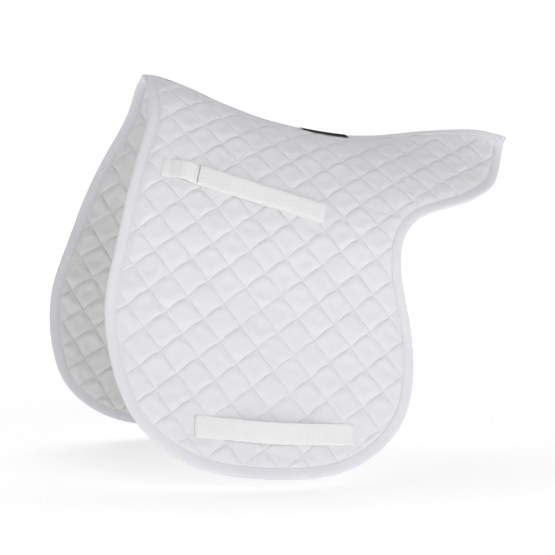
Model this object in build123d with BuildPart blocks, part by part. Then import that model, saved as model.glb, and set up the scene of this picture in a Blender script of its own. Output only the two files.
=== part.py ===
from build123d import *
import os
from math import cos, radians, sin, tan

# Saddle pad with a contoured spine, in millimetres. +X points to the horse's tail, +Z up, and the
# left side is at negative Y. The origin is on the underside of the spine, at its lowest point.
# Everything is built for the right side, and the left side is its mirror image.

# Driving dimensions
REAR_END = 244.0            # the rear end of the spine
WITHERS = -333.0            # where the spine's straight front end begins
LEAN = radians(19.1)        # how far each flap leans out of the vertical
HALF_WIDTH = 183.0          # from the middle to a flap's outer face, at the fold line above x = 0
FOLD_HEIGHT = -181.0        # the fold line's height above x = 0
FOLD_SLOPE = -0.109         # and its rise per unit of x
COVER = 0.8                 # thickness of the outer cotton
FILLING = 7.4               # thickness of the wadding
LINING = 0.8                # thickness of the inner cotton
PLY_GAP = 0.1               # between two plies
BINDING_WIDTH = 15.0
BINDING = 1.0               # thickness of the binding
PANEL = COVER + FILLING + LINING + 2 * PLY_GAP
SEAM_GAP = 0.15             # from the middle plane to each half, at the spine seam
FOLD_GAP = 0.3              # between the upper panel and the flap
SWING_IN = 16.0             # relief at the fold in degrees, for a flap that swings inwards
WEB_WIDTH = 30.0            # webbing of the straps
WEB = 1.4                   # its thickness
TAB = 14.0                  # the length of webbing that is sewn down at a strap's end
THREAD = 0.5                # height of a row of stitches
ROW = 0.6                   # width of a row of stitches
ROW_INSET = 3.0             # from the row's outer side to the edge of the webbing
GIRTH_ENDS = [(-329, -385.5), (-107, -406)]                 # girth strap, as (x, z)
GIRTH_SLACK = 10.0          # how far the girth strap stands off the flap in the middle
SADDLE_STRAP_ENDS = [(-343, 122.6, -37), (-112, 150, -107)] # saddle strap, on the cover
STRAP_TILT = radians(28.6)  # how far the saddle strap's face looks up
STRAP_LIFT = 1.0            # from the line between its ends to its underside
FOLDED_BACK = 185.0         # length of the saddle strap's folded end
TAPE = 1.0                  # thickness of the hook tape, of the loop tape and of the spine tapes
TAPE_INSET = 2.0            # from the side of the hook or loop tape to the edge of the webbing
LOOP_SPAN = (30, 170)       # the loop tape, from the strap's rear end
HOOK_SPAN = (4, 74)         # the hook tape, from the tip of the folded end
LABEL = 0.7                 # the label's thickness
LABEL_SPAN = (-96, -25)     # its front and rear edges
LABEL_REACH = 17.0          # how far it reaches down each side of the spine
SPINE_TAPE_SPAN = (-325, 222)                               # between the bindings
SPINE_TAPE_REACH = 12.0
SPINE_GAP = 0.9             # from the panel to the tape over the spine, and to the one under it
LABEL_GAP = 0.2             # from the tape over the spine up to the label

# The top of the spine, from the withers to the rear end
RIDGE = [
    (WITHERS, 94.5), (-282, 81.5), (-221, 56), (-159, 34.5), (-96, 20.5), (-32, 11.5),
    (0, 10.5), (33, 11.5), (99, 18.5), (166, 22.5), (200, 21.5), (REAR_END, 12),
]
# The panel's edge as seen from the side: down the front, round the flap, and up the rear
FRONT_EDGE = [(-341, 79.5), (-345, 44.5), (-364, -3.5), (-395, -79.5), (-420, -158.5)]
FLAP_EDGE = [
    (-436, -215.5), (-439, -264.5), (-430, -324.5), (-410, -373.5), (-376, -410.5),
    (-320, -441.5), (-261, -454.5), (-192, -459.5), (-128, -453.5), (-70, -427.5),
    (-31, -389.5), (-11, -343.5), (-3, -290.5), (-4, -235.5), (-6, -190.5),
]
REAR_EDGE = [
    (5, -144.5), (32, -115.5), (68, -101.5), (125, -87.5), (170, -72.5), (205, -54.5),
    (228, -25.5), (REAR_END, 11.5),
]
ABOVE_RIDGE = 150.0         # a height clear above the whole pad
BEYOND = 330.0              # a distance clear outside the pad, sideways
EDGE_STEPS = 40             # points along the edge, where it is drawn again with an inset
SECTIONS = [WITHERS + 24.0 * k for k in range(-5, 25)] + [REAR_END + 12]    # of the loft


def ridge_height(x):
    """Height of the spine's top, by cubic pieces through the points of RIDGE."""
    if x <= RIDGE[0][0]:
        return RIDGE[0][1]
    last = len(RIDGE) - 1
    i = max(k for k in range(last) if RIDGE[k][0] <= x)
    (xa, za), (xb, zb) = RIDGE[i], RIDGE[i + 1]

    def slope(k):
        (x0, z0), (x1, z1) = RIDGE[max(k - 1, 0)], RIDGE[min(k + 1, last)]
        return 0.0 if k == 0 else (z1 - z0) / (x1 - x0)

    span = xb - xa
    t = (x - xa) / span
    return (za * (1 + 2 * t) * (1 - t) ** 2 + zb * t * t * (3 - 2 * t)
            + span * t * (1 - t) * ((1 - t) * slope(i) - t * slope(i + 1)))


def fold_point(x):
    """Where the cross-section at x meets the fold line, as (y, z)."""
    z = FOLD_HEIGHT + FOLD_SLOPE * x
    return Vector(HALF_WIDTH - (z - FOLD_HEIGHT) * tan(LEAN), z)


def crest_shape(x):
    """The spine's slope at x, and the lengths of the section's two control legs."""
    u = min(max((x - WITHERS) / (REAR_END - WITHERS), 0.0), 1.1) ** 2.62
    fall = radians(72.5 * u)                    # flat over the withers, steep at the rear
    return fall, 57.8 + (175.7 - 57.8) * u, 98.7 + (78.8 - 98.7) * u


def section_polygon(x, depth):
    """Control points of the cross-section at x, moved inwards by depth: ridge first, fold last."""
    fall, crest, side = crest_shape(x)
    top, fold = Vector(0, ridge_height(x)), fold_point(x)
    polygon = [
        top, top + Vector(cos(fall), -sin(fall)) * crest,
        fold + Vector(-sin(LEAN), cos(LEAN)) * side, fold,
    ]
    legs = [(b - a).normalized() for a, b in zip(polygon, polygon[1:])]
    inwards = [Vector(leg.Y, -leg.X) for leg in legs]
    moved = [polygon[0] + inwards[0] * depth]
    for corner, n0, n1 in zip(polygon[1:3], inwards, inwards[1:]):
        moved.append(corner + (n0 + n1) * (depth / (1 + n0.dot(n1))))
    moved.append(polygon[3] + inwards[2] * depth)
    return moved


def section_point(x, depth, t):
    """A point of the cross-section curve at x, as (y, z)."""
    a, b, c, d = section_polygon(x, depth)
    return a * (1 - t) ** 3 + b * (3 * t * (1 - t) ** 2) + c * (3 * t * t * (1 - t)) + d * t ** 3


def upper_shell(outer, inner):
    """The half of the pad above the fold line, between two depths under the outer face."""
    sections = []
    for x in SECTIONS:
        over, under = section_polygon(x, outer), section_polygon(x, inner)
        with BuildSketch(Plane.YZ.offset(x)) as section:
            with BuildLine():
                Bezier(*over)
                Line(over[3], under[3])
                Bezier(*reversed(under))
                Line(under[0], over[0])
            make_face()
        sections.append(section.sketch)
    loft(sections)


def side_view(inset=0.0):
    """The panel's outline as seen from the side, drawn inset by a distance from its real edge."""
    with BuildSketch(Plane.XZ.offset(-SEAM_GAP)) as outline:
        with BuildLine():
            edge = Spline(*FRONT_EDGE, *FLAP_EDGE, *REAR_EDGE, mode=Mode.PRIVATE)
            steps = [k / EDGE_STEPS for k in range(EDGE_STEPS + 1)]
            along = [(edge.position_at(t), edge.tangent_at(t)) for t in steps]
            border = Spline(*[p + Vector(-d.Y, d.X) * inset for p, d in along])
            first, last = border @ 0, border @ 1
            Polyline(last, (last.X, ABOVE_RIDGE), (first.X, ABOVE_RIDGE), first)
        make_face()
    return outline


def trim_to(outline, mode=Mode.INTERSECT):
    """Keep, or cut away, what lies inside an outline seen from the side."""
    extrude(outline.sketch, amount=-BEYOND, mode=mode)


FLAP = Plane(origin=(0, HALF_WIDTH, FOLD_HEIGHT), x_dir=(1, 0, 0), z_dir=(0, cos(LEAN), sin(LEAN)))
ON_AXIS = BINDING + PLY_GAP + 0.2               # the fold's axis lies just outside the binding
AXIS_START = FLAP.from_local_coords(Vector(0, 0, ON_AXIS))
ALONG_FOLD = Vector(1, -FOLD_SLOPE * tan(LEAN), FOLD_SLOPE).normalized()
DOWN_FLAP = FLAP.z_dir.cross(ALONG_FOLD)
GROOVE = Plane(
    origin=AXIS_START + DOWN_FLAP * FOLD_GAP,
    x_dir=ALONG_FOLD,
    z_dir=DOWN_FLAP.rotate(Axis((0, 0, 0), ALONG_FOLD), SWING_IN),
)


def flap_slab(outer, inner):
    """The flap below the fold line, between two depths under its outer face."""
    with BuildSketch(FLAP.offset(-inner)) as slab:
        Rectangle(BEYOND * 4, BEYOND * 4)
    extrude(slab.sketch, amount=inner - outer)
    split(bisect_by=GROOVE, keep=Keep.TOP)


def rim(region):
    """The binding of one region: a channel that the panel's edge sits in."""
    with BuildPart() as core:
        region(-PLY_GAP, PANEL + PLY_GAP)
        trim_to(side_view(BINDING))
    with BuildPart() as channel:
        region(-BINDING - PLY_GAP, PANEL + BINDING + PLY_GAP)
        trim_to(side_view())
        trim_to(side_view(BINDING_WIDTH), Mode.SUBTRACT)
        add(core.part, mode=Mode.SUBTRACT)
    return channel.part.solids().sort_by(Axis.X)


def crest_strip(span, outer, inner, reach, count):
    """A strip that lies over the spine, or under it, between two depths."""
    sections = []
    for k in range(count + 1):
        x = span[0] + (span[1] - span[0]) * k / count
        fall, crest, _ = crest_shape(x)
        right = []
        for depth in (outer, inner):
            apex = Vector(0, ridge_height(x) - depth / cos(fall))
            past = [max(depth, 0) * tan(fall) + part * reach for part in (0.5, 1)]
            right.append([apex] + [section_point(x, depth, way / (3 * crest)) for way in past])
        over, under = right
        loop = over + under[::-1] + [Vector(-p.X, p.Y) for p in under[1:]]
        loop += [Vector(-p.X, p.Y) for p in over[:0:-1]]
        with BuildSketch(Plane.YZ.offset(x)) as section:
            with BuildLine():
                Polyline(*loop, close=True)
            make_face()
        sections.append(section.sketch)
    loft(sections)


def stitched_box(plane, middle, length):
    """Rows of stitches round a rectangle of webbing."""
    with BuildSketch(plane) as rows:
        with Locations((middle, 0)):
            Rectangle(length, WEB_WIDTH - 2 * ROW_INSET)
            Rectangle(length - 2 * ROW, WEB_WIDTH - 2 * (ROW_INSET + ROW), mode=Mode.SUBTRACT)
    extrude(rows.sketch, amount=THREAD)


# The three plies of the half panel above the fold line, and of the flap below it
plies = {"cover": (0, COVER)}
plies["filling"] = (COVER + PLY_GAP, COVER + PLY_GAP + FILLING)
plies["lining"] = (PANEL - LINING, PANEL)
half = {}
for place, region in (("upper", upper_shell), ("flap", flap_slab)):
    for ply, depths in plies.items():
        with BuildPart() as panel:
            region(*depths)
            trim_to(side_view(BINDING + PLY_GAP))
        half[f"{place}_{ply}"] = panel.part

# The binding round the edge: one strip down the front, one up the rear, one round the flap
upper_rims = rim(upper_shell)
half["front_binding"], half["rear_binding"] = upper_rims[0], upper_rims[-1]
half["flap_binding"] = rim(flap_slab)[0]

# Girth strap: webbing sewn to the flap at both ends, with slack for the girth between them
girth_start, girth_end = (
    FLAP.from_local_coords(Vector(x, (FOLD_HEIGHT - z) / cos(LEAN), PLY_GAP)) for x, z in GIRTH_ENDS
)
GIRTH_LENGTH = (girth_end - girth_start).length
along_girth = (girth_end - girth_start).normalized()
girth_side = Plane(girth_start, x_dir=along_girth, z_dir=along_girth.cross(FLAP.z_dir))
with BuildPart() as girth_strap:
    with BuildSketch(girth_side):
        with BuildLine():
            Line((0, 0), (TAB, 0))
            ThreePointArc((TAB, 0), (GIRTH_LENGTH / 2, GIRTH_SLACK), (GIRTH_LENGTH - TAB, 0))
            Polyline((GIRTH_LENGTH - TAB, 0), (GIRTH_LENGTH, 0), (GIRTH_LENGTH, WEB),
                     (GIRTH_LENGTH - TAB, WEB))
            ThreePointArc((GIRTH_LENGTH - TAB, WEB), (GIRTH_LENGTH / 2, GIRTH_SLACK + WEB),
                          (TAB, WEB))
            Polyline((TAB, WEB), (0, WEB), (0, 0))
        make_face()
    extrude(amount=WEB_WIDTH / 2, both=True)
half["girth_strap"] = girth_strap.part

girth_face = Plane(girth_start + FLAP.z_dir * WEB, x_dir=along_girth, z_dir=FLAP.z_dir)
with BuildPart() as girth_strap_stitching:
    stitched_box(girth_face, TAB / 2, TAB - 4)
    stitched_box(girth_face, GIRTH_LENGTH - TAB / 2, TAB - 4)
half["girth_strap_stitching"] = girth_strap_stitching.part

# Saddle strap: sewn down at the front, free from there on, and folded back on itself at the rear
front, rear = (Vector(*end) for end in SADDLE_STRAP_ENDS)
along_strap = (rear - front).normalized()
outwards = Vector(0, cos(STRAP_TILT), sin(STRAP_TILT))
outwards = (outwards - along_strap * outwards.dot(along_strap)).normalized()
strap_start = front + along_strap * TAB + outwards * STRAP_LIFT     # where it comes free
STRAP_LENGTH = (rear - front).length - TAB
strap_side = Plane(strap_start, x_dir=along_strap, z_dir=along_strap.cross(outwards))
LOOP_TAPE = (WEB + PLY_GAP, WEB + PLY_GAP + TAPE)           # heights above the strap's underside
HOOK_TAPE = (LOOP_TAPE[1] + FOLD_GAP, LOOP_TAPE[1] + FOLD_GAP + TAPE)
FOLDED = (HOOK_TAPE[1] + PLY_GAP, HOOK_TAPE[1] + PLY_GAP + WEB)
bend = FOLDED[1] / 2                                        # outer radius of the fold
bend_at = STRAP_LENGTH - bend
folded_end = bend_at - FOLD_GAP                             # where the folded end begins


def webbing(start, stop, heights, width=WEB_WIDTH):
    """A straight length of tape along the saddle strap."""
    with BuildSketch(strap_side) as profile:
        with Locations(((start + stop) / 2, sum(heights) / 2)):
            Rectangle(stop - start, heights[1] - heights[0])
    extrude(profile.sketch, amount=width / 2, both=True)


with BuildPart() as saddle_strap_tab:
    webbing(-TAB, 0, (0, WEB))
half["saddle_strap_tab"] = saddle_strap_tab.part

with BuildPart() as saddle_strap_stitching:
    stitched_box(Plane(strap_start + outwards * WEB, along_strap, outwards), -TAB / 2, TAB - 4)
half["saddle_strap_stitching"] = saddle_strap_stitching.part

with BuildPart() as saddle_strap:
    with BuildSketch(strap_side):
        with BuildLine():
            Line((FOLD_GAP, 0), (bend_at, 0))
            ThreePointArc((bend_at, 0), (STRAP_LENGTH, bend), (bend_at, FOLDED[1]))
            Line((bend_at, FOLDED[1]), (bend_at, FOLDED[0]))
            ThreePointArc((bend_at, FOLDED[0]), (STRAP_LENGTH - WEB, bend), (bend_at, WEB))
            Polyline((bend_at, WEB), (FOLD_GAP, WEB), (FOLD_GAP, 0))
        make_face()
    extrude(amount=WEB_WIDTH / 2, both=True)
half["saddle_strap"] = saddle_strap.part

with BuildPart() as loop_tape:
    loop_rear, loop_front = (STRAP_LENGTH - away for away in LOOP_SPAN)
    webbing(loop_front, loop_rear, LOOP_TAPE, WEB_WIDTH - 2 * TAPE_INSET)
half["loop_tape"] = loop_tape.part

with BuildPart() as hook_tape:
    hook_front, hook_rear = (folded_end - FOLDED_BACK + away for away in HOOK_SPAN)
    webbing(hook_front, hook_rear, HOOK_TAPE, WEB_WIDTH - 2 * TAPE_INSET)
half["hook_tape"] = hook_tape.part

with BuildPart() as saddle_strap_end:
    webbing(folded_end - FOLDED_BACK, folded_end, FOLDED)
half["saddle_strap_end"] = saddle_strap_end.part

# The pieces on the spine, which both halves share
pieces = {}
with BuildPart() as spine_tape:
    depth = PANEL + SPINE_GAP
    crest_strip(SPINE_TAPE_SPAN, depth, depth + TAPE, SPINE_TAPE_REACH, 24)
pieces["spine_tape"] = spine_tape.part

with BuildPart() as spine_binding:
    crest_strip(SPINE_TAPE_SPAN, -SPINE_GAP - TAPE, -SPINE_GAP, SPINE_TAPE_REACH, 24)
pieces["spine_binding"] = spine_binding.part

label_bottom = SPINE_GAP + TAPE + LABEL_GAP                 # height over the panel
label_top = label_bottom + LABEL
with BuildPart() as spine_label:
    crest_strip(LABEL_SPAN, -label_top, -label_bottom, LABEL_REACH, 4)
pieces["spine_label"] = spine_label.part

row_bottom = label_top + PLY_GAP
with BuildPart() as label_stitching:
    for x in (LABEL_SPAN[0] + ROW_INSET, LABEL_SPAN[1] - ROW_INSET):
        row = (x - ROW / 2, x + ROW / 2)
        crest_strip(row, -row_bottom - THREAD, -row_bottom, LABEL_REACH - 2, 1)
pieces["label_stitching"] = label_stitching.part

# Both sides: the right one as built, and the left one mirrored
for name, part in half.items():
    pieces[f"right_{name}"] = part
    with BuildPart() as twin:
        mirror(part, about=Plane.XZ)
    pieces[f"left_{name}"] = twin.part

os.makedirs("parts", exist_ok=True)
for name, piece in pieces.items():
    piece.label = name
    export_step(piece, f"parts/{name}.step")
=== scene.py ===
from math import cos, pi, radians, sin, tan

import bmesh
import bpy
import numpy as np
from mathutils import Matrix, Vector
from mathutils.kdtree import KDTree


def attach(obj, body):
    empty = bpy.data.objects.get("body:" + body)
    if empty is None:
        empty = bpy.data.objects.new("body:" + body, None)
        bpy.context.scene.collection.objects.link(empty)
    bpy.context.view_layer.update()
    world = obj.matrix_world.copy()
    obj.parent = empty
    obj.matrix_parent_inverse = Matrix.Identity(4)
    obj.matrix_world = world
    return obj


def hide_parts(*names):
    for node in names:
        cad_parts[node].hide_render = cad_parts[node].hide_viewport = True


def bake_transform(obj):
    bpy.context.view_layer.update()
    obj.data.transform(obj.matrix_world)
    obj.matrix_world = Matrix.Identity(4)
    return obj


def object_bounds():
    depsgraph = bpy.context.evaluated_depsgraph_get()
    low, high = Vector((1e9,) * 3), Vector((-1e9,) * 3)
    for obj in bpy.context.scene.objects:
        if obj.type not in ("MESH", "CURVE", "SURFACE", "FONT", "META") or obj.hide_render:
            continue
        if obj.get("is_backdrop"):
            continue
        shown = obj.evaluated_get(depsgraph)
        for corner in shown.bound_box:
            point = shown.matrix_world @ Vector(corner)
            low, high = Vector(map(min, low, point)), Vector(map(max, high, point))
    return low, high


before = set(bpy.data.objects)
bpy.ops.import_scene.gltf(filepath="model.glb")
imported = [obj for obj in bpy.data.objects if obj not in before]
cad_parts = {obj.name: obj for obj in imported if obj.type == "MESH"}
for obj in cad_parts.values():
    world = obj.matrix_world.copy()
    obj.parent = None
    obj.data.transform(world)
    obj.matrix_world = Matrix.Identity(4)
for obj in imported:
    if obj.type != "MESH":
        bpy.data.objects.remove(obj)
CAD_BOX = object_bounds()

# A quilted saddle pad, in metres, in the CAD frame: +X to the tail, +Z up. Every shape is worked
# out for the right side (positive Y), and the left side is its mirror image.

# ------------------------------------------------------------------ the CAD's dimensions
MM = 0.001
REAR_END, WITHERS = 244 * MM, -333 * MM
LEAN = radians(19.1)
HALF_WIDTH, FOLD_HEIGHT, FOLD_SLOPE = 183 * MM, -181 * MM, -0.109
PANEL = 9.2 * MM                # thickness of the whole panel
STEEPEST, STEEPENING = 72.5, 2.62       # the fall beside the tail, in degrees, and how late it comes
WEB_WIDTH, WEB = 30 * MM, 1.4 * MM      # webbing's width and thickness
RIDGE = MM * np.array([
    (-333, 94.5), (-282, 81.5), (-221, 56), (-159, 34.5), (-96, 20.5), (-32, 11.5),
    (0, 10.5), (33, 11.5), (99, 18.5), (166, 22.5), (200, 21.5), (244, 12),
])
EDGE = MM * np.array([
    (-341, 79.5), (-345, 44.5), (-364, -3.5), (-395, -79.5), (-420, -158.5), (-436, -215.5),
    (-439, -264.5), (-430, -324.5), (-410, -373.5), (-376, -410.5), (-320, -441.5),
    (-261, -454.5), (-192, -459.5), (-128, -453.5), (-70, -427.5), (-31, -389.5), (-11, -343.5),
    (-3, -290.5), (-4, -235.5), (-6, -190.5), (5, -144.5), (32, -115.5), (68, -101.5),
    (125, -87.5), (170, -72.5), (205, -54.5), (228, -25.5), (244, 11.5),
])

# ------------------------------------------------------------------ the soft work's dimensions
SQUARE = 38 * MM                # side of a quilting square
RISING, FALLING = radians(33.5), radians(-58.4)     # the two rows of stitches, on the cloth
A_CORNER = (-260 * MM, 5 * MM)  # one corner of a square: x, and height along the cloth
BOW = 2.2 * MM                  # how far a rising row bows upwards between two corners
CELL_STEPS = 12                 # mesh steps along a square's side
STEP_EASE = 0.12                # how much closer together they are at the stitches
TILE = 5                        # squares along the side of the simulated sample
LAST_FRAME = 30                 # of its simulation
FULLNESS = 0.6                  # under 1 for squares that are flatter on top, with sharper seams
PUFF = 2.0 * MM                 # how far a square stands above its stitches, outside
PUFF_INSIDE = 3.4 * MM          # the lining is fuller, and rounder
VALLEY = 2.1 * MM               # from the middle of the panel to the stitches
SQUEEZED = 1.1 * MM             # the same, inside the binding
SEAM_HALF = 4.3 * MM            # the same, at the spine's seam
BINDING_WIDTH = 15 * MM
BINDING_HALF = 2.2 * MM         # from the middle of the panel to the outside of the binding, by its stitches
BINDING = 0.7 * MM              # thickness of its tape
TAB = 14 * MM                   # the length of webbing sewn down at a strap's end
BOX_LONG, BOX_WIDE = 9 * MM, 24 * MM    # the rectangle of stitches that holds it
BEND = 2.65 * MM                # outer radius of the fold at the saddle strap's rear end
FOLDED = 3.9 * MM               # from that strap's underside to its folded end's underside
FOLDED_LENGTH = 185 * MM
GIRTH_LIFT, GIRTH_DROOP = 9.5 * MM, 6.5 * MM    # how far the girth strap's middle stands off, and hangs
PITCH = 3.2 * MM                # from one stitch to the next


def side_names(side, *names):
    """The names of one side's nodes."""
    return [f"{side}_{name}" for name in names]


# ------------------------------------------------------------------ the surface of the pad
T = np.linspace(0, 1, 49)       # steps down a cross-section, from the ridge to the fold


def ridge_height(x):
    """Height of the spine's top, by cubic pieces through the points of RIDGE."""
    x = np.clip(np.asarray(x, float), RIDGE[0, 0], None)
    i = np.clip(np.searchsorted(RIDGE[:, 0], x, side="right") - 1, 0, len(RIDGE) - 2)
    before, after = np.maximum(np.arange(len(RIDGE)) - 1, 0), np.arange(len(RIDGE)) + 1
    after = np.minimum(after, len(RIDGE) - 1)
    run, rise = (RIDGE[after] - RIDGE[before]).T
    slope = rise / run
    slope[0] = 0
    span = RIDGE[i + 1, 0] - RIDGE[i, 0]
    t = (x - RIDGE[i, 0]) / span
    return (RIDGE[i, 1] * (1 + 2 * t) * (1 - t) ** 2 + RIDGE[i + 1, 1] * t * t * (3 - 2 * t)
            + span * t * (1 - t) * ((1 - t) * slope[i] - t * slope[i + 1]))


def sections(x):
    """Cross-sections at each x: points (y, z) down to the fold, and their cloth length above it."""
    u = np.clip((x - WITHERS) / (REAR_END - WITHERS), 0, 1.1) ** STEEPENING
    fall = np.radians(STEEPEST * u)
    crest = MM * (57.8 + 117.9 * u)[:, None]        # the lengths of the curve's two arms
    side = MM * (98.7 - 19.9 * u)[:, None]
    z = FOLD_HEIGHT + FOLD_SLOPE * x
    top = np.stack([np.zeros_like(x), ridge_height(x)], -1)
    fold = np.stack([HALF_WIDTH - (z - FOLD_HEIGHT) * tan(LEAN), z], -1)
    over = top + crest * np.stack([np.cos(fall), -np.sin(fall)], -1)
    under = fold + side * np.array([-sin(LEAN), cos(LEAN)])
    t = T[None, :, None]
    top, over, under, fold = (p[:, None] for p in (top, over, under, fold))
    points = top * (1 - t) ** 3 + over * 3 * t * (1 - t) ** 2 + under * 3 * t * t * (1 - t) + fold * t ** 3
    legs = np.linalg.norm(np.diff(points, axis=1), axis=2)
    length = np.zeros(points.shape[:2])
    length[:, :-1] = legs[:, ::-1].cumsum(axis=1)[:, ::-1]
    return points, length


def fold_at(x):
    """The fold line's height along the cloth."""
    return FOLD_SLOPE * x / cos(LEAN)


def spine_at(x):
    """The spine's height along the cloth."""
    return fold_at(x) + sections(np.atleast_1d(np.asarray(x, float)))[1][:, 0]


def on_face(x, w):
    """The point of the pad's outer face at x, and at height w along the cloth."""
    points, length = sections(x)
    arc = np.clip(w - fold_at(x), 0, length[:, 0])
    i = np.clip((length >= arc[:, None]).sum(axis=1) - 1, 0, len(T) - 2)
    row = np.arange(len(x))
    a, b = length[row, i], length[row, i + 1]
    part = ((a - arc) / np.maximum(a - b, 1e-9))[:, None]
    upper = points[row, i] * (1 - part) + points[row, i + 1] * part
    flap = np.stack([HALF_WIDTH - w * sin(LEAN), FOLD_HEIGHT + w * cos(LEAN)], -1)
    yz = np.where((w > fold_at(x))[:, None], upper, flap)
    return np.column_stack([x, yz])


def surface(x, w):
    """Points of the outer face, and its outward normals."""
    e = 2 * MM
    x, w = np.asarray(x, float), np.asarray(w, float)
    tail = on_face(x + e, w) - on_face(x - e, w)
    top = spine_at(x)
    up = on_face(x, np.minimum(w + e, top)) - on_face(x, np.minimum(w, top - e / 4) - e)
    normal = np.cross(up, tail)
    return on_face(x, w), normal / np.linalg.norm(normal, axis=1, keepdims=True)


def cloth_height(x, z):
    """The height along the cloth of a point of the face, seen from the side at (x, z)."""
    points, length = sections(x)
    out = (z - FOLD_HEIGHT) / cos(LEAN)
    for k in np.flatnonzero(z > FOLD_HEIGHT + FOLD_SLOPE * x):
        out[k] = fold_at(x[k]) + np.interp(z[k], points[k, ::-1, 1], length[k, ::-1])
    return out


def smooth(t):
    """An eased step from 0 to 1."""
    t = np.clip(t, 0, 1)
    return t * t * (3 - 2 * t)


def spline(points, step):
    """A natural cubic spline through points, as points a step apart."""
    n = len(points)
    knots = np.concatenate([[0], np.linalg.norm(np.diff(points, axis=0), axis=1).cumsum()])
    h = np.diff(knots)
    lhs = np.eye(n)
    rhs = np.zeros((n, 2))
    for k in range(1, n - 1):
        lhs[k, k - 1:k + 2] = h[k - 1], 2 * (h[k - 1] + h[k]), h[k]
        rhs[k] = 6 * ((points[k + 1] - points[k]) / h[k] - (points[k] - points[k - 1]) / h[k - 1])
    bend = np.linalg.solve(lhs, rhs)
    s = np.linspace(0, knots[-1], int(knots[-1] / step) + 1)
    i = np.clip(np.searchsorted(knots, s, side="right") - 1, 0, n - 2)
    a, b = (knots[i + 1] - s)[:, None], (s - knots[i])[:, None]
    d = h[i][:, None]
    return ((bend[i] * a ** 3 + bend[i + 1] * b ** 3) / (6 * d)
            + (points[i] / d - bend[i] * d / 6) * a + (points[i + 1] / d - bend[i + 1] * d / 6) * b)


def edge_on_cloth():
    """The panel's edge as (x, w) points, with the direction inwards at each."""
    line = spline(EDGE, 3 * MM)
    w = cloth_height(line[:, 0], line[:, 1])
    front_top = spine_at(EDGE[0, 0])[0]
    lead = np.linspace(front_top, w[0], int((front_top - w[0]) / (3 * MM)), endpoint=False)
    path = np.vstack([
        np.column_stack([np.linspace(EDGE[0, 0] + 3.5 * MM, EDGE[0, 0], len(lead)), lead]),
        np.column_stack([line[:, 0], w]),
    ])
    along = np.gradient(path, axis=0)
    along /= np.linalg.norm(along, axis=1, keepdims=True)
    for _ in range(3):
        along[1:-1] = (along[:-2] + along[1:-1] + along[2:]) / 3
    along /= np.linalg.norm(along, axis=1, keepdims=True)
    return path, np.column_stack([-along[:, 1], along[:, 0]])


EDGE_PATH, EDGE_IN = edge_on_cloth()
EDGE_TREE = KDTree(len(EDGE_PATH))
for k, (x, w) in enumerate(EDGE_PATH):
    EDGE_TREE.insert((x, w, 0), k)
EDGE_TREE.balance()


def edge_distance(x, w):
    """How far inside the panel's edge each point of the cloth lies; negative outside."""
    nearest = np.array([EDGE_TREE.find((a, b, 0))[1] for a, b in zip(x, w)])
    away = np.column_stack([x, w]) - EDGE_PATH[nearest]
    inside = (away * EDGE_IN[nearest]).sum(axis=1)
    return np.sign(inside) * np.linalg.norm(away, axis=1)


# ------------------------------------------------------------------ making meshes
def make(name, points, faces, uv=None, cloth=None):
    """A smooth-shaded mesh object, its faces turned outwards, with its cloth coordinates."""
    mesh = bpy.data.meshes.new(name)
    mesh.from_pydata([tuple(p) for p in points], [], [tuple(int(v) for v in f) for f in faces])
    if uv is not None:
        layer = mesh.uv_layers.new(name="cloth")
        loops = np.zeros(len(mesh.loops), np.int32)
        mesh.loops.foreach_get("vertex_index", loops)
        layer.data.foreach_set("uv", np.asarray(uv, np.float32)[loops].ravel())
    mesh.polygons.foreach_set("use_smooth", np.ones(len(mesh.polygons), bool))
    obj = bpy.data.objects.new(name, mesh)
    bpy.context.scene.collection.objects.link(obj)
    if cloth:
        mesh.materials.append(cloth)
    shell = bmesh.new()
    shell.from_mesh(mesh)
    bmesh.ops.recalc_face_normals(shell, faces=shell.faces)
    shell.to_mesh(mesh)
    shell.free()
    return obj


def grid_faces(rows, columns, closed=False):
    """Quads of a grid of points, in rows; closed joins the last column to the first."""
    r = np.arange(rows - 1)[:, None]
    c = np.arange(columns if closed else columns - 1)[None, :]
    d = (c + 1) % columns
    quads = [r * columns + c, (r + 1) * columns + c, (r + 1) * columns + d, r * columns + d]
    return np.stack(quads, -1).reshape(-1, 4)


def mirrored(points, side):
    """The right side's points, as they are or mirrored to the left."""
    return points * np.array([1, -1 if side == "left" else 1, 1])


def both_sides(build):
    """Build a piece for the right side and mirror it for the left."""
    points, faces, uv = build()
    for side in ("right", "left"):
        yield side, mirrored(points, side), faces, uv


# ------------------------------------------------------------------ a quilted sample, by cloth simulation
def steps(count):
    """Mesh steps over a number of squares, closer together at the stitches."""
    t = np.arange(count * CELL_STEPS + 1) / CELL_STEPS
    return t - STEP_EASE * np.sin(2 * pi * t)


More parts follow.
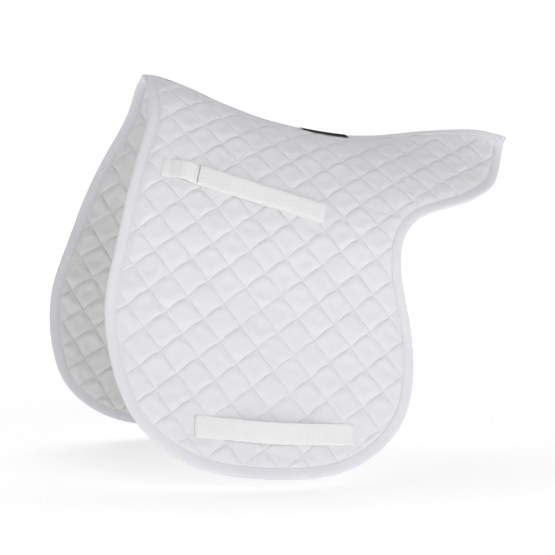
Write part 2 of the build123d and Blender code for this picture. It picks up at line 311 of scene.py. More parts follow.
def simulated_squares():
    """TILE x TILE squares of quilting, sewn down along their sides and blown up by the filling.
    Returns the moves of the mesh points of each square, brought halfway to their average: two
    along the cloth in metres, and one out of it against a height of 1 in the middle."""
    n = TILE * CELL_STEPS + 1
    side = steps(TILE) * SQUARE
    u, v = np.meshgrid(side, side, indexing="ij")
    flat = np.column_stack([u.ravel(), v.ravel(), np.zeros(n * n)])
    rng = np.random.default_rng(7)
    on_seam = np.arange(n) % CELL_STEPS == 0
    sewn = (on_seam[:, None] | on_seam[None, :]).ravel()
    start = flat.copy()
    lift = np.abs(np.sin(pi * u / SQUARE) * np.sin(pi * v / SQUARE)).ravel()
    start[:, 2] = 1.5 * MM * lift + ~sewn * rng.normal(0, 0.05 * MM, n * n)
    sample = make("quilting_sample", start, grid_faces(n, n)[:, ::-1])
    group = sample.vertex_groups.new(name="sewn")
    group.add(np.flatnonzero(sewn).tolist(), 1.0, "REPLACE")
    cloth = sample.modifiers.new("cloth", "CLOTH")
    settings = cloth.settings
    settings.quality = 6
    settings.mass = 0.15
    settings.tension_stiffness = settings.compression_stiffness = 15
    settings.shear_stiffness = 5
    settings.bending_stiffness = 0.05
    settings.vertex_group_mass = "sewn"
    settings.shrink_min = -0.005
    settings.use_pressure = True
    settings.uniform_pressure_force = 3.0
    settings.effector_weights.gravity = 0
    cloth.collision_settings.use_collision = False
    scene = bpy.context.scene
    for frame_number in range(1, LAST_FRAME + 1):
        scene.frame_set(frame_number)
    shaped = sample.evaluated_get(bpy.context.evaluated_depsgraph_get()).to_mesh()
    end = np.zeros(n * n * 3)
    shaped.vertices.foreach_get("co", end)
    scene.frame_set(1)
    bpy.data.objects.remove(sample)
    moves = (end.reshape(-1, 3) - flat).reshape(n, n, 3)
    cells = []
    for i in range(TILE):
        for j in range(TILE):
            a, b = i * CELL_STEPS, j * CELL_STEPS
            cells.append(moves[a:a + CELL_STEPS + 1, b:b + CELL_STEPS + 1])
    cells = np.array(cells)
    middle = np.abs(cells[:, CELL_STEPS // 2, CELL_STEPS // 2, 2]).mean()
    cells = (cells + cells.mean(axis=0)) / 2
    cells[..., 2] = (np.abs(cells[..., 2]) / middle) ** FULLNESS
    return cells


CELLS = simulated_squares()
UP_ROW = np.array([cos(RISING), sin(RISING)])
DOWN_ROW = np.array([cos(FALLING), sin(FALLING)])


def on_lattice(p, q):
    """Cloth coordinates of a point of the lattice, p squares down its rows and q squares up them.
    Between two corners, a rising row of stitches is pulled a little up the cloth."""
    xw = np.array(A_CORNER) + SQUARE * (p[..., None] * DOWN_ROW + q[..., None] * UP_ROW)
    xw[..., 1] += BOW * np.sin(pi * q) ** 2
    return xw


def quilt():
    """The quilting lattice over the panel: cloth coordinates and relative puff height."""
    rng = np.random.default_rng(11)
    corners = np.array([(x, w) for x in (-0.46, 0.26) for w in (-0.34, 0.42)]) - A_CORNER
    pq = np.linalg.solve(np.column_stack([DOWN_ROW, UP_ROW]), corners.T).T / SQUARE
    low, high = np.floor(pq.min(axis=0)).astype(int), np.ceil(pq.max(axis=0)).astype(int)
    rows, columns = (high - low) * CELL_STEPS + 1
    i, j = np.meshgrid(np.arange(rows), np.arange(columns), indexing="ij")
    squares = high - low
    pick = rng.integers(0, len(CELLS), squares)
    turn_i, turn_j = rng.random(squares) < 0.5, rng.random(squares) < 0.5
    strength = rng.normal(1, 0.05, squares)
    ci, cj = np.minimum(i // CELL_STEPS, squares[0] - 1), np.minimum(j // CELL_STEPS, squares[1] - 1)
    a, b = i - ci * CELL_STEPS, j - cj * CELL_STEPS
    flip_i, flip_j = turn_i[ci, cj], turn_j[ci, cj]
    moves = CELLS[pick[ci, cj], np.where(flip_i, CELL_STEPS - a, a), np.where(flip_j, CELL_STEPS - b, b)]
    du, dv = np.where(flip_i, -1, 1) * moves[..., 0], np.where(flip_j, -1, 1) * moves[..., 1]
    height = moves[..., 2] * strength[ci, cj]
    xw = on_lattice(steps(squares[0])[i] + low[0], steps(squares[1])[j] + low[1])
    moved = xw + du[..., None] * DOWN_ROW + dv[..., None] * UP_ROW
    return moved.reshape(-1, 2), height.ravel(), (rows, columns)


# ------------------------------------------------------------------ where the straps lie
def strap_frame():
    """The saddle strap: where it starts, its directions along, outwards and across, its length."""
    start, end = MM * np.array([-339, 123.3, -39]), MM * np.array([-112, 150.7, -109])
    along = (end - start) / np.linalg.norm(end - start)
    out = np.array([0, cos(radians(28.6)), sin(radians(28.6))])
    out -= along * (out @ along)
    out /= np.linalg.norm(out)
    start += along * TAB + out * MM
    return start, along, out, np.cross(along, out), np.linalg.norm(end - start)


def girth_frame():
    """The girth strap, in the same terms."""
    (xa, za), (xb, zb) = MM * np.array([(-329, -385.5), (-107, -406)])
    ends = [np.array([x, HALF_WIDTH - (z - FOLD_HEIGHT) * tan(LEAN), z]) for x, z in ((xa, za), (xb, zb))]
    along = (ends[1] - ends[0]) / np.linalg.norm(ends[1] - ends[0])
    out = np.array([0, cos(LEAN), sin(LEAN)])
    return ends[0], along, out, np.cross(along, out), np.linalg.norm(ends[1] - ends[0])


STRAP, GIRTH = strap_frame(), girth_frame()


def pressed(points):
    """1 where a strap's sewn end holds the pad flat, falling to 0 around it."""
    held = np.zeros(len(points))
    sewn = ((STRAP, -TAB / 2), (GIRTH, TAB / 2), (GIRTH, GIRTH[4] - TAB / 2))
    for (start, along, out, across, _), middle in sewn:
        away = points - (start + along * middle)
        a = np.maximum(np.abs(away @ along) - TAB / 2, 0)
        b = np.maximum(np.abs(away @ across) - WEB_WIDTH / 2, 0)
        near = np.exp(-(a * a + b * b) / (7 * MM) ** 2) * (np.abs(away @ out) < 40 * MM)
        held = np.maximum(held, near)
    return held


# ------------------------------------------------------------------ materials
def material(name, colour, roughness=0.9, sheen=0.15, shine=0.25):
    """A plain cloth-like material, with its nodes, its links and its shader."""
    m = bpy.data.materials.new(name)
    m.use_nodes = True
    shader = m.node_tree.nodes["Principled BSDF"]
    shader.inputs["Base Color"].default_value = (*colour, 1)
    shader.inputs["Roughness"].default_value = roughness
    shader.inputs["Specular IOR Level"].default_value = shine
    shader.inputs["Sheen Weight"].default_value = sheen
    shader.inputs["Sheen Roughness"].default_value = 0.5
    return m, m.node_tree.nodes, m.node_tree.links, shader


def add(nodes, kind, **values):
    """A node, with the values of its inputs and settings."""
    node = nodes.new(kind)
    for key, value in values.items():
        if key in node.inputs:
            node.inputs[key].default_value = value
        else:
            setattr(node, key, value)
    return node


def ranged(nodes, links, value, low, high, to_low, to_high, **settings):
    """The level that goes from to_low to to_high as a value goes from low to high."""
    level = add(nodes, "ShaderNodeMapRange", **settings)
    for key, number in zip(("From Min", "From Max", "To Min", "To Max"), (low, high, to_low, to_high)):
        level.inputs[key].default_value = number
    links.new(value, level.inputs["Value"])
    return level.outputs["Result"]


def woven(name, colour, pitch=0.9 * MM, bump=0.12, mottle=0.03, dark=0.9, **finish):
    """Cloth: warp and weft threads, and faint changes of shade."""
    m, nodes, links, shader = material(name, colour, **finish)
    uv = add(nodes, "ShaderNodeUVMap", uv_map="cloth")
    waves = []
    for direction in ("X", "Y"):
        wave = add(nodes, "ShaderNodeTexWave", wave_type="BANDS", bands_direction=direction,
                   wave_profile="SIN", Scale=pi * 0.1 / pitch, Distortion=0.6, Detail=1.0)
        links.new(uv.outputs["UV"], wave.inputs["Vector"])
        waves.append(wave)
    weave = add(nodes, "ShaderNodeMath", operation="MULTIPLY")
    links.new(waves[0].outputs["Fac"], weave.inputs[0])
    links.new(waves[1].outputs["Fac"], weave.inputs[1])
    fuzz = add(nodes, "ShaderNodeTexNoise", Scale=900.0, Detail=3.0)
    links.new(uv.outputs["UV"], fuzz.inputs["Vector"])
    height = add(nodes, "ShaderNodeMath", operation="MULTIPLY_ADD")
    height.inputs[1].default_value = 0.6
    links.new(fuzz.outputs["Fac"], height.inputs[0])
    links.new(weave.outputs["Value"], height.inputs[2])
    relief = add(nodes, "ShaderNodeBump", Strength=bump, Distance=0.3 * MM)
    links.new(height.outputs["Value"], relief.inputs["Height"])
    links.new(relief.outputs["Normal"], shader.inputs["Normal"])
    patches = add(nodes, "ShaderNodeTexNoise", Scale=14.0, Detail=4.0)
    links.new(uv.outputs["UV"], patches.inputs["Vector"])
    both = add(nodes, "ShaderNodeMath", operation="MULTIPLY")
    links.new(ranged(nodes, links, patches.outputs["Fac"], 0.3, 0.7, 1 - mottle, 1), both.inputs[0])
    links.new(ranged(nodes, links, weave.outputs["Value"], 0.0, 0.5, dark, 1), both.inputs[1])
    tint = add(nodes, "ShaderNodeMix", data_type="RGBA", blend_type="MULTIPLY")
    tint.inputs["Factor"].default_value = 1.0
    tint.inputs["A"].default_value = (*colour, 1)
    links.new(both.outputs["Value"], tint.inputs["B"])
    links.new(tint.outputs["Result"], shader.inputs["Base Color"])
    return m


COTTON = woven("quilted_cotton", (0.80, 0.80, 0.825))
LINING = woven("lining_cotton", (0.79, 0.79, 0.79))
BINDING_TAPE = woven("binding_tape", (0.79, 0.79, 0.825), pitch=0.7 * MM, bump=0.1)
WEBBING = woven("webbing", (0.875, 0.88, 0.875), pitch=1.2 * MM, bump=0.2)
THREAD = woven("thread", (0.84, 0.84, 0.85), pitch=0.3 * MM, bump=0.3)
BINDING_THREAD = woven("binding_thread", (0.66, 0.66, 0.76), pitch=0.3 * MM, bump=0.3)
LABEL = woven("label", (0.012, 0.012, 0.013), pitch=0.5 * MM, bump=0.2,
              roughness=1.0, sheen=0, shine=0.02)
LABEL_THREAD = woven("label_thread", (0.5, 0.5, 0.5), pitch=0.3 * MM, bump=0.3)
HOOK_TAPE = woven("hook_and_loop", (0.7, 0.7, 0.69), pitch=1.6 * MM, bump=0.5, roughness=1.0)


# ------------------------------------------------------------------ the quilted panels
def near_spine(x, w):
    """1 at the spine's seam, falling to 0 beside it."""
    return 1 - smooth((spine_at(x) - w - 9 * MM) / (14 * MM))


def half_thickness(x, w, rest):
    """From the middle of the panel to its stitches: thinner in the binding, thicker at the spine."""
    half = SQUEEZED + (VALLEY - SQUEEZED) * smooth((rest - 12 * MM) / (14 * MM))
    return half + (SEAM_HALF - half) * near_spine(x, w)


def panel_skin(outside):
    """One face of a panel: its points, the quads of the lattice that belong to it, and its cloth
    coordinates. Both faces have the same quads."""
    xw, height, (rows, columns) = quilt()
    x, w = xw.T
    rest = edge_distance(x, w)
    top = spine_at(x)
    inside = (rest > 3 * MM) & (w < top - 2.5 * MM)
    quads = grid_faces(rows, columns)
    quads = quads[inside[quads].all(axis=1)]
    used, quads = np.unique(quads, return_inverse=True)
    quads = quads.reshape(-1, 4)
    x, w, rest, height, top = (v[used] for v in (x, w, rest, height, top))
    point, normal = surface(x, w)
    free = smooth((rest - BINDING_WIDTH) / (5 * MM)) * smooth((top - w - 12 * MM) / (9 * MM))
    free *= 1 - pressed(point) if outside else 1 - 0.7 * pressed(point)
    puff = PUFF * height if outside else PUFF_INSIDE * height ** 1.3
    half = half_thickness(x, w, rest) + puff * free
    depth = PANEL / 2 - half if outside else PANEL / 2 + half
    point = point - normal * depth[:, None]
    point[:, 1] = np.maximum(point[:, 1], 0.3 * MM)
    return point, quads, np.column_stack([x, w])


def panel():
    """A closed panel: cover and lining, joined round their edge."""
    outer, faces, uv = panel_skin(outside=True)
    inner, _, uv_inner = panel_skin(outside=False)
    count = len(outer)
    edges = np.concatenate([faces[:, [k, (k + 1) % 4]] for k in range(4)])
    ways = {(a, b) for a, b in edges.tolist()}
    rim = np.array([(a, b) for a, b in ways if (b, a) not in ways])
    rim = rim[np.lexsort((rim[:, 1], rim[:, 0]))]
    wall = np.column_stack([rim[:, 1], rim[:, 0], rim[:, 0] + count, rim[:, 1] + count])
    return (np.vstack([outer, inner]), np.vstack([faces, faces[:, ::-1] + count, wall]),
            np.vstack([uv, uv_inner]))


FOLD_MIDDLE = np.array([-0.22, 0, 0])
FOLD_MIDDLE[2] = FOLD_HEIGHT + FOLD_SLOPE * FOLD_MIDDLE[0]
FOLD_MIDDLE[1] = HALF_WIDTH - (FOLD_MIDDLE[2] - FOLD_HEIGHT) * tan(LEAN)
ALONG_FOLD = np.array([1, -FOLD_SLOPE * tan(LEAN), FOLD_SLOPE])
ALONG_FOLD /= np.linalg.norm(ALONG_FOLD)
DOWN_FLAP = np.cross(np.array([0, cos(LEAN), sin(LEAN)]), ALONG_FOLD)


def bend_at_fold(obj, side, reach=28 * MM):
    """Works out the two ends of a band each side of the fold line, which nothing uses, and bakes the
    object's transform into its mesh.
    """
    ends = [mirrored(FOLD_MIDDLE + DOWN_FLAP * way, side) for way in (-reach, reach)]
    tuple(ends[0])
    tuple(ends[1])
    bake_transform(obj)


for side, points, faces, uv in both_sides(panel):
    pad = make(f"{side}_quilted_panel", points, faces, uv, COTTON)
    pad.data.materials.append(LINING)
    lined = (faces >= len(points) // 2).all(axis=1)
    pad.data.polygons.foreach_set("material_index", lined.astype(np.int32))
    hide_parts(*side_names(side, "upper_cover", "upper_filling", "upper_lining",
                                 "flap_cover", "flap_filling", "flap_lining"))
    bend_at_fold(pad, side)


# ------------------------------------------------------------------ the binding round each panel
def binding():
    """A tape folded over the panel's edge, as a closed loop of points at each step of the edge.
    Its section's points are distances in from the edge, and out from the middle of the panel."""
    across = MM * np.array([
        (15.2, 1.7), (14.6, 2.2), (13.4, 1.5), (12, 2.0), (9, 2.4), (5.5, 2.5), (2.4, 2.3),
        (0.6, 1.3), (0, 0),
    ])
    across = np.vstack([across, across[-2::-1] * [1, -1]])
    tangent = np.gradient(across, axis=0)
    tangent /= np.linalg.norm(tangent, axis=1, keepdims=True)
    inner = across + np.column_stack([-tangent[:, 1], tangent[:, 0]]) * BINDING
    loop = np.vstack([across, inner[::-1]])
    count = len(EDGE_PATH)
    run = np.concatenate([[0], np.linalg.norm(np.diff(EDGE_PATH, axis=0), axis=1).cumsum()])
    rng = np.random.default_rng(5)
    ripple = np.convolve(rng.normal(0, 1, count + 8), np.hanning(5) / 2, "same")[4:-4]
    points, uv = [], []
    arc = np.concatenate([[0], np.linalg.norm(np.diff(loop, axis=0), axis=1).cumsum()])
    for (a, b), s in zip(loop, arc):
        xw = EDGE_PATH + EDGE_IN * a
        xw[:, 1] = np.minimum(xw[:, 1], spine_at(xw[:, 0]))
        point, normal = surface(xw[:, 0], xw[:, 1])
        swell = 1 + 0.09 * ripple * np.exp(-((a - 8 * MM) / (5 * MM)) ** 2)
        swell += (SEAM_HALF / BINDING_HALF - 1) * near_spine(xw[:, 0], xw[:, 1])
        points.append(point - normal * (PANEL / 2 - b * swell)[:, None])
        uv.append(np.column_stack([run, np.full(count, s)]))
    points = np.array(points).transpose(1, 0, 2).reshape(-1, 3)
    points[:, 1] = np.maximum(points[:, 1], 0)
    uv = np.array(uv).transpose(1, 0, 2).reshape(-1, 2)
    faces = grid_faces(count, len(loop), closed=True)
    return points, faces, uv


for side, points, faces, uv in both_sides(binding):
    tape = make(f"{side}_binding", points, faces, uv, BINDING_TAPE)
    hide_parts(*side_names(side, "front_binding", "rear_binding", "flap_binding"))
    bend_at_fold(tape, side)


# ------------------------------------------------------------------ tapes and label on the spine
def crest(x, reach, height):
    """A section of a tape bent over the spine: points (y, z), from the right side to the left."""
    step, rounding = 0.5 * MM, 8
    top = spine_at(x)
    roof = surface([x], top - MM)[1][0]
    hidden = max(-height, 0) * roof[1] / roof[2]      # where the two halves meet, under the spine
    away = np.arange(0, reach + hidden + (rounding + 1) * step, step)[::-1]
    point, normal = surface(np.full(len(away), x), top - away)
    point = point + normal * height
    right = point[point[:, 1] > 0.2 * MM][:, 1:]
    loop = np.vstack([right, right[::-1] * [-1, 1]])
    weight = np.hanning(2 * rounding + 1)[1:-1]
    weight /= weight.sum()
    rounded = np.column_stack([np.convolve(loop[:, k], weight, "valid") for k in (0, 1)])
    run = np.concatenate([[0], np.linalg.norm(np.diff(rounded, axis=0), axis=1).cumsum()])
    middle = run[-1] / 2
    s = middle + np.linspace(-1, 1, 17) * min(reach, middle)
    return np.column_stack([np.interp(s, run, rounded[:, k]) for k in (0, 1)])


def spine_strip(span, reach, height, thickness, step=5 * MM):
    """A closed strip of tape along the spine, height above the face (or below it, if negative)."""
    xs = np.linspace(*span, int((span[1] - span[0]) / step) + 1)
    points, uv = [], []
    for x in xs:
        low, high = crest(x, reach, height), crest(x, reach, height + thickness)
        loop = np.vstack([high, low[::-1]])
        points.append(np.column_stack([np.full(len(loop), x), loop]))
        across = np.linspace(-reach, reach, len(high))
        uv.append(np.column_stack([np.full(len(loop), x), np.concatenate([across, across[::-1]])]))
    count = len(points[0])
    faces = grid_faces(len(points), count, closed=True).tolist()
    ends = [list(range(count)), [k + (len(points) - 1) * count for k in range(count)][::-1]]
    return np.vstack(points), faces + ends, np.vstack(uv)


def on_spine(name, node, span, reach, height, thickness, cloth):
    """A tape or label along the spine, in place of its CAD node."""
    strip = make(name, *spine_strip(span, reach, height, thickness), cloth)
    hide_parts(node)
    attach(strip, "saddle")


on_spine("spine_binding_tape", "spine_binding", (-337 * MM, 236 * MM), 10 * MM, -0.1 * MM, 0.7 * MM,
         BINDING_TAPE)
on_spine("spine_inner_tape", "spine_tape", (-325 * MM, 224 * MM), 11 * MM, -9.6 * MM, 0.8 * MM,
         BINDING_TAPE)
on_spine("spine_label_tag", "spine_label", (-96 * MM, -25 * MM), 18 * MM, 0.9 * MM, 0.5 * MM,
         LABEL)


# ------------------------------------------------------------------ stitches
def stitches(places, ways, outs, length=2.3 * MM, width=0.6 * MM, height=0.4 * MM):
    """One mesh of small stitches: a slim, low lens at each place, lying along its way."""
    ways = ways / np.linalg.norm(ways, axis=1, keepdims=True)
    sides = np.cross(outs, ways)
    shape = [(-1, 0, -0.3), (0, 1, 0), (0, 0, 1), (0, -1, 0), (1, 0, -0.3)]
    points = np.stack([places + ways * a * length / 2 + sides * b * width / 2 + outs * c * height
                       for a, b, c in shape], 1).reshape(-1, 3)
    lens = np.array([(0, 2, 1), (0, 3, 2), (4, 1, 2), (4, 2, 3), (0, 1, 3), (4, 3, 1)])
    faces = (lens[None] + 5 * np.arange(len(places))[:, None, None]).reshape(-1, 3)
    uv = np.tile([(a * length, b * width) for a, b, c in shape], (len(places), 1))
    return points, faces, uv


def stitched(line, outs):
    """Places, ways and outward directions of the stitches along a line of points."""
    run = np.concatenate([[0], np.linalg.norm(np.diff(line, axis=0), axis=1).cumsum()])
    s = np.arange(PITCH / 2, run[-1], PITCH)
    at = [np.column_stack([np.interp(v, run, line[:, k]) for k in range(3)]) for v in (s, s - MM, s + MM)]
    out = np.column_stack([np.interp(s, run, outs[:, k]) for k in range(3)])
    return at[0], at[2] - at[1], out / np.linalg.norm(out, axis=1, keepdims=True)


def joined(*rows):
    """The places, ways and outward directions of several rows, as one."""
    return [np.vstack(part) for part in zip(*rows)]


def quilting_stitches():
    """The stitches along both rows of the lattice, on both faces of the panel."""
    lines = []
    ahead = 0.02                # of a square, from a stitch to the point that gives its way
    ticks = np.arange(-20, 21, 1 / CELL_STEPS) + 0.5 / CELL_STEPS
    for k in range(-20, 21):
        here = k + 0 * ticks
        lines.append(np.hstack([on_lattice(here, ticks), on_lattice(here, ticks + ahead)]))
        lines.append(np.hstack([on_lattice(ticks, here), on_lattice(ticks + ahead, here)]))
    x, w, x_ahead, w_ahead = np.vstack(lines).T
    known = (x > -0.45) & (x < 0.25) & (w > -0.32)
    x, w, x_ahead, w_ahead = (v[known] for v in (x, w, x_ahead, w_ahead))
    rest = edge_distance(x, w)
    keep = (rest > 16.5 * MM) & (w < spine_at(x) - 11 * MM)
    x, w, x_ahead, w_ahead, rest = (v[keep] for v in (x, w, x_ahead, w_ahead, rest))
    point, normal = surface(x, w)
    way = surface(x_ahead, w_ahead)[0] - point
    half = half_thickness(x, w, rest)[:, None] + 0.1 * MM
    outside = point - normal * (PANEL / 2 - half), way, normal
    inside = point - normal * (PANEL / 2 + half), way, -normal
    return stitches(*joined(outside, inside))


def binding_stitches():
    """The row of stitches along the binding's inner edge, on both faces."""
    xw = EDGE_PATH + EDGE_IN * 13.2 * MM
    keep = xw[:, 1] < spine_at(xw[:, 0]) - 8 * MM
    x, w = xw[keep].T
    point, normal = surface(x, w)
    swell = 1 + (SEAM_HALF / BINDING_HALF - 1) * near_spine(x, w)
    half = (1.5 * MM * swell)[:, None]
    return stitches(*joined(stitched(point - normal * (PANEL / 2 - half), normal),
                            stitched(point - normal * (PANEL / 2 + half), -normal)))


def box_of_stitches(strap, middle, lift):
    """A rectangle of stitches on a strap."""
    start, along, out, across, _ = strap
    corners = [(-1, -1), (1, -1), (1, 1), (-1, 1), (-1, -1)]
    line = np.array([start + along * (middle + a * BOX_LONG / 2) + across * b * BOX_WIDE / 2 + out * lift
                     for a, b in corners])
    rows = [stitched(line[k:k + 2], np.tile(out, (2, 1))) for k in range(4)]
    return joined(*rows)


for side, points, faces, uv in both_sides(quilting_stitches):
    rows = make(f"{side}_quilting_stitches", points, faces, uv, THREAD)
    bend_at_fold(rows, side)

for side, points, faces, uv in both_sides(binding_stitches):
    rows = make(f"{side}_binding_stitches", points, faces, uv, BINDING_THREAD)
    bend_at_fold(rows, side)


# ------------------------------------------------------------------ straps
def web_section(width=WEB_WIDTH, thickness=WEB):
    """Webbing's cross-section, with rounded selvedges: points (across, out) above its underside."""
    half, edge = width / 2, thickness / 2
    corner = [(half - edge + edge * sin(a), edge - edge * cos(a)) for a in np.linspace(0, pi, 5)]
    across = np.linspace(half - edge, -half + edge, 6)[1:-1]
    top = [(b, thickness) for b in across]
    other = [(-b, thickness - c) for b, c in corner]
    bottom = [(-b, 0) for b in across]
    return np.array(corner + top + other + bottom)


def web_sweep(path, outs, across, width=WEB_WIDTH, thickness=WEB, rib=2.8 * MM, rib_height=0.3 * MM):
    """Webbing swept along a path, with fine ribs across it. The path is its underside."""
    section = web_section(width, thickness)
    run = np.concatenate([[0], np.linalg.norm(np.diff(path, axis=0), axis=1).cumsum()])
    s = np.linspace(0, run[-1], int(run[-1] / (rib / 4 if rib_height else 2 * MM)) + 1)
    line, out = (np.column_stack([np.interp(s, run, v[:, k]) for k in range(3)]) for v in (path, outs))
    out /= np.linalg.norm(out, axis=1, keepdims=True)
    ribs = rib_height * np.sin(2 * pi * s / rib)
    flat = np.clip((width / 2 - np.abs(section[:, 0])) / (2 * MM), 0, 1)
    points, uv = [], []
    for (b, c), f in zip(section, flat):
        rise = c + (ribs * f if c > thickness / 2 else -ribs * f)
        points.append(line + across * b + out * rise[:, None])
        uv.append(np.column_stack([s, np.full(len(s), b + 2 * c)]))
    count = len(section)
    points = np.array(points).transpose(1, 0, 2).reshape(-1, 3)
    uv = np.array(uv).transpose(1, 0, 2).reshape(-1, 2)
    faces = grid_faces(len(s), count, closed=True).tolist()
    faces += [list(range(count)), [k + (len(s) - 1) * count for k in range(count)][::-1]]
    return points, faces, uv


def girth_strap():
    """Webbing sewn to the flap at both ends: in the middle it stands off and droops a little."""
    start, along, out, across, length = GIRTH
    s = np.linspace(0, length, 90)
    t = np.clip((s - TAB) / (length - 2 * TAB), 0, 1)
    lift = GIRTH_LIFT * np.sin(pi * t) ** 1.3 - 2.2 * MM + 3 * MM * smooth(5 * t) * smooth(5 - 5 * t)
    droop = GIRTH_DROOP * np.sin(pi * t)
    path = start + np.outer(s, along) + np.outer(lift, out) - np.outer(droop, across)
    outs = np.cross(across, np.gradient(path, axis=0))
    return web_sweep(path, outs, across)


def saddle_strap():
    """The sewn tab, the raised piece behind it, and the run of webbing under the folded end."""
    start, along, out, across, length = STRAP
    s = np.linspace(-TAB, length - BEND, 120)
    hump = 4.6 * MM * np.exp(-((s - 18 * MM) / (13 * MM)) ** 2) * smooth((s + 2 * MM) / (14 * MM))
    dip = -3.3 * MM * smooth((4 * MM - s) / (10 * MM))
    path = start + np.outer(s, along) + np.outer(hump + dip, out)
    outs = np.cross(across, np.gradient(path, axis=0))
    return web_sweep(path, outs, across)


def saddle_strap_end():
    """The bend at the rear, and the end that is folded back over the strap."""
    start, along, out, across, length = STRAP
    bend_at = length - BEND
    angle = np.linspace(-pi / 2, pi / 2, 24)
    inner = BEND - WEB
    turn = (start + np.outer(bend_at + inner * np.cos(angle), along)
            + np.outer(BEND + inner * np.sin(angle), out))
    turn_out = np.outer(np.cos(angle), along) + np.outer(np.sin(angle), out)
    s = np.linspace(bend_at - MM, bend_at - FOLDED_LENGTH, 100)
    back = start + np.outer(s, along) + FOLDED * out
    path = np.vstack([turn, back])
    outs = np.vstack([turn_out, np.tile(out, (len(s), 1))])
    return web_sweep(path, outs, across)


def thin_tape(start_at, stop_at, height, thickness):
    """A tape along the saddle strap, without ribs."""
    start, along, out, across, _ = STRAP
    s = np.linspace(start_at, stop_at, 60)
    path = start + np.outer(s, along) + height * out
    return web_sweep(path, np.tile(out, (len(s), 1)), across, 26 * MM, thickness, rib_height=0)


for side, points, faces, uv in both_sides(girth_strap):
    web = make(f"{side}_girth_webbing", points, faces, uv, WEBBING)
    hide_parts(f"{side}_girth_strap")
    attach(web, f"{side}_flap")

for side, points, faces, uv in both_sides(saddle_strap):
    web = make(f"{side}_saddle_webbing", points, faces, uv, WEBBING)
    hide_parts(*side_names(side, "saddle_strap_tab", "saddle_strap"))
    start, along = STRAP[:2]
    ends = [tuple(mirrored(start + along * way, side)) for way in (-6 * MM, 10 * MM)]
    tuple(ends[0])
    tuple(ends[1])
    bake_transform(web)

for side, points, faces, uv in both_sides(saddle_strap_end):
    web = make(f"{side}_saddle_webbing_end", points, faces, uv, WEBBING)
    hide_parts(f"{side}_saddle_strap_end")
    start, along, out, _, length = STRAP
    ends = [tuple(mirrored(start + along * (length - BEND) + out * up, side)) for up in (1.6 * MM, 3.5 * MM)]
    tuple(ends[0])
    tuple(ends[1])
    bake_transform(web)

# each tape's body, its two ends as distances from the strap's rear end, and its height
for name, body, span, height in (("loop", "strap", (170, 30), 1.5), ("hook", "strap_end", (184, 114), 2.8)):
    front, rear = (STRAP[4] - away * MM for away in span)
    for side, points, faces, uv in both_sides(lambda: thin_tape(front, rear, height * MM, MM)):
        tape = make(f"{side}_{name}_fabric", points, faces, uv, HOOK_TAPE)
        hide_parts(f"{side}_{name}_tape")
        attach(tape, f"{side}_{body}")


def girth_stitches():
    """The stitches at both ends of the girth strap."""
    middles = (TAB / 2, GIRTH[4] - TAB / 2)
    return stitches(*joined(*(box_of_stitches(GIRTH, middle, -0.6 * MM) for middle in middles)))


def saddle_stitches():
    """The stitches on the saddle strap's sewn tab."""
    return stitches(*box_of_stitches(STRAP, -TAB / 2, -1.7 * MM))


for name, rows_of, body, node in (("girth_stitches", girth_stitches, "flap", "girth_strap_stitching"),
                                  ("saddle_stitches", saddle_stitches, None, "saddle_strap_stitching")):
    for side, points, faces, uv in both_sides(rows_of):
        rows = make(f"{side}_{name}", points, faces, uv, THREAD)
        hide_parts(f"{side}_{node}")
        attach(rows, f"{side}_{body}" if body else "saddle")


def spine_rows(spans, reach, lift):
    """Rows of stitches along a tape on the spine, near its two edges."""
    rows = []
    for span in spans:
        xs = np.linspace(*span, int((span[1] - span[0]) / (4 * MM)) + 1)
        point, normal = surface(xs, spine_at(xs) - reach)
        for way in (1, -1):
            rows.append(stitched((point + normal * lift) * [1, way, 1], normal * [1, way, 1]))
    return joined(*rows)


rows = make("spine_stitches", *stitches(*spine_rows(
    ((-322 * MM, -98 * MM), (-22 * MM, 222 * MM)), 8.6 * MM, 0.65 * MM)), THREAD)
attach(rows, "saddle")
label_rows = make("label_stitches", *stitches(*spine_rows(
    ((-94 * MM, -27 * MM),), 16.5 * MM, 1.45 * MM)), LABEL_THREAD)
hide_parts("label_stitching")
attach(label_rows, "saddle")


# ------------------------------------------------------------------ floor, light and camera
PIVOT = Vector((-131.8 * MM, 0, -203.2 * MM))
AZIMUTH, ELEVATION = radians(-18.1), radians(2.7)
DISTANCE, LENS = 2.4856, 107.5          # metres from the pivot to the camera, and millimetres
FLOOR_DROP = 16 * MM                    # room under the pad for the flaps to swing in
FLOOR_NEAR, FLOOR_FAR = 0.4, 0.7        # light given off by the floor
OVERHEAD, ROOM_FRONT = 1.35, 0.2        # levels of the room, against 1 behind the pad
KEY, FILL = 27, 3                       # watts


def glow(nodes, links, place, low, high, dim, bright):
    """A smooth change of level with a coordinate, between two of its values."""
    return ranged(nodes, links, place, low, high, dim, bright, interpolation_type="SMOOTHSTEP")


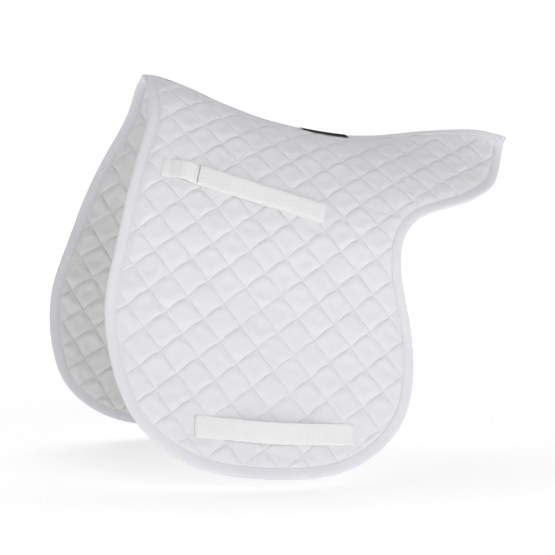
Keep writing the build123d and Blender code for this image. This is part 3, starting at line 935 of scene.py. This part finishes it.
def stage():
    """A pale floor that glows, as painted light from below that is dimmer near the pad, and a room
    that is white behind the pad and dimmer in front of it."""
    floor_material, nodes, links, shader = material("floor", (0.8, 0.8, 0.8), 0.9, 0)
    # painted light: the floor glows though it is no lamp, less within half a metre of the pad
    shader.inputs["Emission Color"].default_value = (1, 1, 1, 1)
    place = add(nodes, "ShaderNodeTexCoord")
    away = add(nodes, "ShaderNodeVectorMath", operation="LENGTH")
    links.new(place.outputs["Object"], away.inputs[0])
    links.new(glow(nodes, links, away.outputs["Value"], 0.5, 2.6, FLOOR_NEAR, FLOOR_FAR),
              shader.inputs["Emission Strength"])
    size, level = 30.0, min(EDGE[:, 1]) - FLOOR_DROP
    corners = [(-size, -size), (size, -size), (size, size), (-size, size)]
    floor = make("floor", [(x, y, level) for x, y in corners], [(0, 1, 2, 3)])
    floor.data.materials.append(floor_material)
    floor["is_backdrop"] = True
    world = bpy.data.worlds.new("studio")
    bpy.context.scene.world = world
    world.use_nodes = True
    nodes, links = world.node_tree.nodes, world.node_tree.links
    direction = add(nodes, "ShaderNodeTexCoord")
    parts = add(nodes, "ShaderNodeSeparateXYZ")
    links.new(direction.outputs["Generated"], parts.inputs["Vector"])
    strength = add(nodes, "ShaderNodeMath", operation="MULTIPLY")
    links.new(glow(nodes, links, parts.outputs["Z"], 0.15, 0.8, 1.0, OVERHEAD), strength.inputs[0])
    links.new(glow(nodes, links, parts.outputs["Y"], -0.4, 0.8, ROOM_FRONT, 1.0), strength.inputs[1])
    links.new(strength.outputs["Value"], nodes["Background"].inputs["Strength"])
    nodes["Background"].inputs["Color"].default_value = (1, 1, 1, 1)


def softbox(name, at, towards, size, power):
    """A square lamp that the camera doesn't see."""
    lamp = bpy.data.lights.new(name, "AREA")
    lamp.shape = "SQUARE"
    lamp.size, lamp.energy = size, power
    obj = bpy.data.objects.new(name, lamp)
    obj.location = at
    obj.rotation_mode = "QUATERNION"
    obj.rotation_quaternion = (Vector(towards) - Vector(at)).to_track_quat("-Z", "Y")
    obj.visible_camera = False
    bpy.context.scene.collection.objects.link(obj)


stage()
softbox("key", (0.1, -2.5, 0.05), (-0.1, 0, -0.2), 0.9, KEY)
softbox("fill", (-2.6, -0.7, 0.6), (-0.35, 0.2, -0.2), 0.5, FILL)

lens = bpy.data.cameras.new("camera")
lens.lens, lens.sensor_width = LENS, 36
camera = bpy.data.objects.new("camera", lens)
back = Vector((sin(AZIMUTH) * cos(ELEVATION), -cos(AZIMUTH) * cos(ELEVATION), sin(ELEVATION)))
camera.location = PIVOT + back * DISTANCE
camera.rotation_mode = "QUATERNION"
camera.rotation_quaternion = (-back).to_track_quat("-Z", "Y")
bpy.context.scene.collection.objects.link(camera)
bpy.context.scene.camera = camera
bpy.context.scene.view_settings.view_transform = "Standard"

boxes = {"cad": CAD_BOX, "visual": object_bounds()}
{name: [[float(c) for c in corner] for corner in box] for name, box in boxes.items()}
